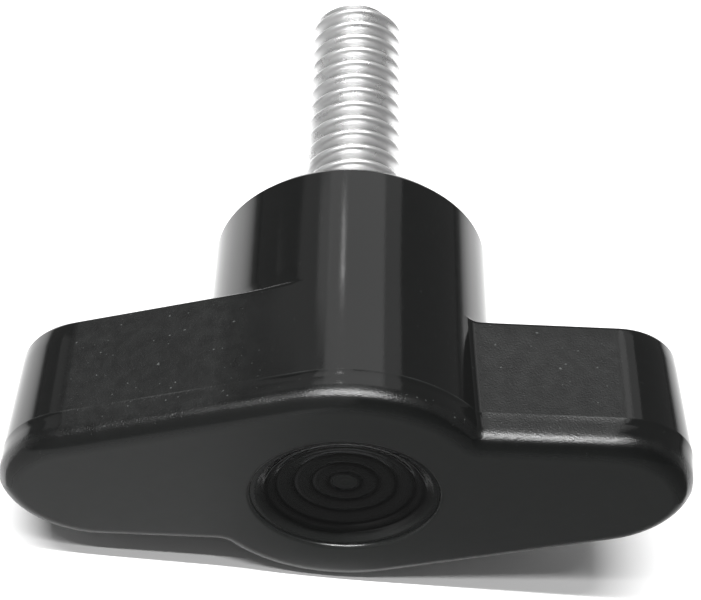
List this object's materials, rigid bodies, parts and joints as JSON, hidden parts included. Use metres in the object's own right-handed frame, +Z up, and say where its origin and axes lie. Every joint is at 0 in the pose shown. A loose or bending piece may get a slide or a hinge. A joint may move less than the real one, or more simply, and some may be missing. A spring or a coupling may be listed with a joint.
{
  "type": "wing screw",
  "caption": "Wing screw: black moulded wing handle with a dished, ringed head face on a chamfered steel 1/4-20 threaded stud.",
  "frame": {"origin": "on the stud's axis, at the clamping face of the hub where the free stud begins", "axes": "+Y along the stud towards its tip, +Z up with the part lying on its round hub, the wings 7.5 degrees off level with the -X wing down"},
  "size_m": [0.0358, 0.037, 0.0162],
  "materials": {
    "handle_plastic": "black thermoplastic, glossy on the hub and rounded edges, fine matt grain on the wings",
    "stud_steel": "bright zinc-plated steel, rolled thread"
  },
  "bodies": {
    "root": {"wing_handle": "handle_plastic", "threaded_stud": "stud_steel"}
  },
  "joints": []
}
